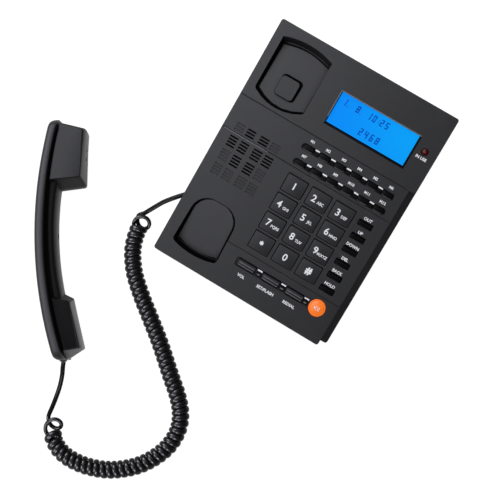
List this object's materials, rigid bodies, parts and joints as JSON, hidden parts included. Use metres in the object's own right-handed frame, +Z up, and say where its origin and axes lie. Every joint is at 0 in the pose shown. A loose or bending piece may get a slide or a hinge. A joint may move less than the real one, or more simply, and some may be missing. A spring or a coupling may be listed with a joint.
{
  "type": "corded telephone",
  "caption": "Wedge-shaped desk telephone with a display, keys, grille and two cradles; its handset lies beside it on its side, joined by a curly cord.",
  "frame": {"origin": "on the desk, under the middle of the base and the handset taken together", "axes": "+X to the right of a person who faces the keys, +Y to the rear of the base, +Z up"},
  "size_m": [0.2876, 0.4021, 0.0685],
  "materials": {
    "case": "fine matte grain",
    "tray": "matte",
    "keys": "satin",
    "speaker_button": "glossy",
    "rubber": "matte",
    "steel": "plated",
    "window": "clear plastic",
    "display": "lit blue",
    "lamp": "clear red",
    "board": "lacquered",
    "cord": "glossy",
    "plug": "glossy"
  },
  "bodies": {
    "base": {"base_top_cover": "case", "base_bottom_cover": "tray", "rubber_feet": "rubber", "case_screws": "steel", "display_window": "window", "lcd_module": "display", "in_use_led": "lamp", "loudspeaker": "tray", "main_board": "board", "board_screws": "steel", "key_mat": "rubber", "hook_board": "board", "hook_spring": "steel", "handset_jack": "tray", "line_jack": "tray", "base_cord_plug": "plug", "handset_cord": "cord"},
    "handset": {"handset_back_shell": "case", "handset_front_shell": "case", "receiver_capsule": "tray", "microphone_capsule": "steel", "handset_weight": "steel", "handset_screw": "steel", "handset_socket": "tray", "handset_cord_plug": "plug"},
    "hook_plunger": {"hook_plunger": "case"},
    "key_1": {"key_1": "keys"},
    "key_2": {"key_2": "keys"},
    "key_3": {"key_3": "keys"},
    "key_4": {"key_4": "keys"},
    "key_5": {"key_5": "keys"},
    "key_6": {"key_6": "keys"},
    "key_7": {"key_7": "keys"},
    "key_8": {"key_8": "keys"},
    "key_9": {"key_9": "keys"},
    "key_star": {"key_star": "keys"},
    "key_0": {"key_0": "keys"},
    "key_hash": {"key_hash": "keys"},
    "memory_key_1": {"memory_key_1": "keys"},
    "memory_key_2": {"memory_key_2": "keys"},
    "memory_key_3": {"memory_key_3": "keys"},
    "memory_key_4": {"memory_key_4": "keys"},
    "memory_key_5": {"memory_key_5": "keys"},
    "memory_key_6": {"memory_key_6": "keys"},
    "memory_key_7": {"memory_key_7": "keys"},
    "memory_key_8": {"memory_key_8": "keys"},
    "memory_key_9": {"memory_key_9": "keys"},
    "memory_key_10": {"memory_key_10": "keys"},
    "memory_key_11": {"memory_key_11": "keys"},
    "memory_key_12": {"memory_key_12": "keys"},
    "side_key_1": {"side_key_1": "keys"},
    "side_key_2": {"side_key_2": "keys"},
    "side_key_3": {"side_key_3": "keys"},
    "side_key_4": {"side_key_4": "keys"},
    "side_key_5": {"side_key_5": "keys"},
    "side_key_6": {"side_key_6": "keys"},
    "row_key_1": {"row_key_1": "keys"},
    "row_key_2": {"row_key_2": "keys"},
    "row_key_3": {"row_key_3": "keys"},
    "speaker_button": {"speaker_button": "speaker_button"}
  },
  "joints": [
    {"name": "handset_lift", "type": "slide", "parent": "base", "child": "handset", "axis": [0, 0, 1], "range_m": [0, 0.2], "deforming": ["handset_cord"]},
    {"name": "hook_press", "type": "slide", "parent": "base", "child": "hook_plunger", "axis": [0, 0.1994, -0.9799], "range_m": [0, 0.0035], "stiffness_N_per_m": 300, "deforming": ["hook_spring"]},
    {"name": "key_1_press", "type": "slide", "parent": "base", "child": "key_1", "axis": [0, 0.1994, -0.9799], "range_m": [0, 0.0015], "stiffness_N_per_m": 600},
    {"name": "key_2_press", "type": "slide", "parent": "base", "child": "key_2", "axis": [0, 0.1994, -0.9799], "range_m": [0, 0.0015], "stiffness_N_per_m": 600},
    {"name": "key_3_press", "type": "slide", "parent": "base", "child": "key_3", "axis": [0, 0.1994, -0.9799], "range_m": [0, 0.0015], "stiffness_N_per_m": 600},
    {"name": "key_4_press", "type": "slide", "parent": "base", "child": "key_4", "axis": [0, 0.1994, -0.9799], "range_m": [0, 0.0015], "stiffness_N_per_m": 600},
    {"name": "key_5_press", "type": "slide", "parent": "base", "child": "key_5", "axis": [0, 0.1994, -0.9799], "range_m": [0, 0.0015], "stiffness_N_per_m": 600},
    {"name": "key_6_press", "type": "slide", "parent": "base", "child": "key_6", "axis": [0, 0.1994, -0.9799], "range_m": [0, 0.0015], "stiffness_N_per_m": 600},
    {"name": "key_7_press", "type": "slide", "parent": "base", "child": "key_7", "axis": [0, 0.1994, -0.9799], "range_m": [0, 0.0015], "stiffness_N_per_m": 600},
    {"name": "key_8_press", "type": "slide", "parent": "base", "child": "key_8", "axis": [0, 0.1994, -0.9799], "range_m": [0, 0.0015], "stiffness_N_per_m": 600},
    {"name": "key_9_press", "type": "slide", "parent": "base", "child": "key_9", "axis": [0, 0.1994, -0.9799], "range_m": [0, 0.0015], "stiffness_N_per_m": 600},
    {"name": "key_star_press", "type": "slide", "parent": "base", "child": "key_star", "axis": [0, 0.1994, -0.9799], "range_m": [0, 0.0015], "stiffness_N_per_m": 600},
    {"name": "key_0_press", "type": "slide", "parent": "base", "child": "key_0", "axis": [0, 0.1994, -0.9799], "range_m": [0, 0.0015], "stiffness_N_per_m": 600},
    {"name": "key_hash_press", "type": "slide", "parent": "base", "child": "key_hash", "axis": [0, 0.1994, -0.9799], "range_m": [0, 0.0015], "stiffness_N_per_m": 600},
    {"name": "memory_key_1_press", "type": "slide", "parent": "base", "child": "memory_key_1", "axis": [0, 0.1994, -0.9799], "range_m": [0, 0.0015], "stiffness_N_per_m": 600},
    {"name": "memory_key_2_press", "type": "slide", "parent": "base", "child": "memory_key_2", "axis": [0, 0.1994, -0.9799], "range_m": [0, 0.0015], "stiffness_N_per_m": 600},
    {"name": "memory_key_3_press", "type": "slide", "parent": "base", "child": "memory_key_3", "axis": [0, 0.1994, -0.9799], "range_m": [0, 0.0015], "stiffness_N_per_m": 600},
    {"name": "memory_key_4_press", "type": "slide", "parent": "base", "child": "memory_key_4", "axis": [0, 0.1994, -0.9799], "range_m": [0, 0.0015], "stiffness_N_per_m": 600},
    {"name": "memory_key_5_press", "type": "slide", "parent": "base", "child": "memory_key_5", "axis": [0, 0.1994, -0.9799], "range_m": [0, 0.0015], "stiffness_N_per_m": 600},
    {"name": "memory_key_6_press", "type": "slide", "parent": "base", "child": "memory_key_6", "axis": [0, 0.1994, -0.9799], "range_m": [0, 0.0015], "stiffness_N_per_m": 600},
    {"name": "memory_key_7_press", "type": "slide", "parent": "base", "child": "memory_key_7", "axis": [0, 0.1994, -0.9799], "range_m": [0, 0.0015], "stiffness_N_per_m": 600},
    {"name": "memory_key_8_press", "type": "slide", "parent": "base", "child": "memory_key_8", "axis": [0, 0.1994, -0.9799], "range_m": [0, 0.0015], "stiffness_N_per_m": 600},
    {"name": "memory_key_9_press", "type": "slide", "parent": "base", "child": "memory_key_9", "axis": [0, 0.1994, -0.9799], "range_m": [0, 0.0015], "stiffness_N_per_m": 600},
    {"name": "memory_key_10_press", "type": "slide", "parent": "base", "child": "memory_key_10", "axis": [0, 0.1994, -0.9799], "range_m": [0, 0.0015], "stiffness_N_per_m": 600},
    {"name": "memory_key_11_press", "type": "slide", "parent": "base", "child": "memory_key_11", "axis": [0, 0.1994, -0.9799], "range_m": [0, 0.0015], "stiffness_N_per_m": 600},
    {"name": "memory_key_12_press", "type": "slide", "parent": "base", "child": "memory_key_12", "axis": [0, 0.1994, -0.9799], "range_m": [0, 0.0015], "stiffness_N_per_m": 600},
    {"name": "side_key_1_press", "type": "slide", "parent": "base", "child": "side_key_1", "axis": [0, 0.1994, -0.9799], "range_m": [0, 0.0015], "stiffness_N_per_m": 600},
    {"name": "side_key_2_press", "type": "slide", "parent": "base", "child": "side_key_2", "axis": [0, 0.1994, -0.9799], "range_m": [0, 0.0015], "stiffness_N_per_m": 600},
    {"name": "side_key_3_press", "type": "slide", "parent": "base", "child": "side_key_3", "axis": [0, 0.1994, -0.9799], "range_m": [0, 0.0015], "stiffness_N_per_m": 600},
    {"name": "side_key_4_press", "type": "slide", "parent": "base", "child": "side_key_4", "axis": [0, 0.1994, -0.9799], "range_m": [0, 0.0015], "stiffness_N_per_m": 600},
    {"name": "side_key_5_press", "type": "slide", "parent": "base", "child": "side_key_5", "axis": [0, 0.1994, -0.9799], "range_m": [0, 0.0015], "stiffness_N_per_m": 600},
    {"name": "side_key_6_press", "type": "slide", "parent": "base", "child": "side_key_6", "axis": [0, 0.1994, -0.9799], "range_m": [0, 0.0015], "stiffness_N_per_m": 600},
    {"name": "row_key_1_press", "type": "slide", "parent": "base", "child": "row_key_1", "axis": [0, 0.1994, -0.9799], "range_m": [0, 0.0015], "stiffness_N_per_m": 600},
    {"name": "row_key_2_press", "type": "slide", "parent": "base", "child": "row_key_2", "axis": [0, 0.1994, -0.9799], "range_m": [0, 0.0015], "stiffness_N_per_m": 600},
    {"name": "row_key_3_press", "type": "slide", "parent": "base", "child": "row_key_3", "axis": [0, 0.1994, -0.9799], "range_m": [0, 0.0015], "stiffness_N_per_m": 600},
    {"name": "speaker_button_press", "type": "slide", "parent": "base", "child": "speaker_button", "axis": [0, 0.1994, -0.9799], "range_m": [0, 0.0015], "stiffness_N_per_m": 600}
  ]
}
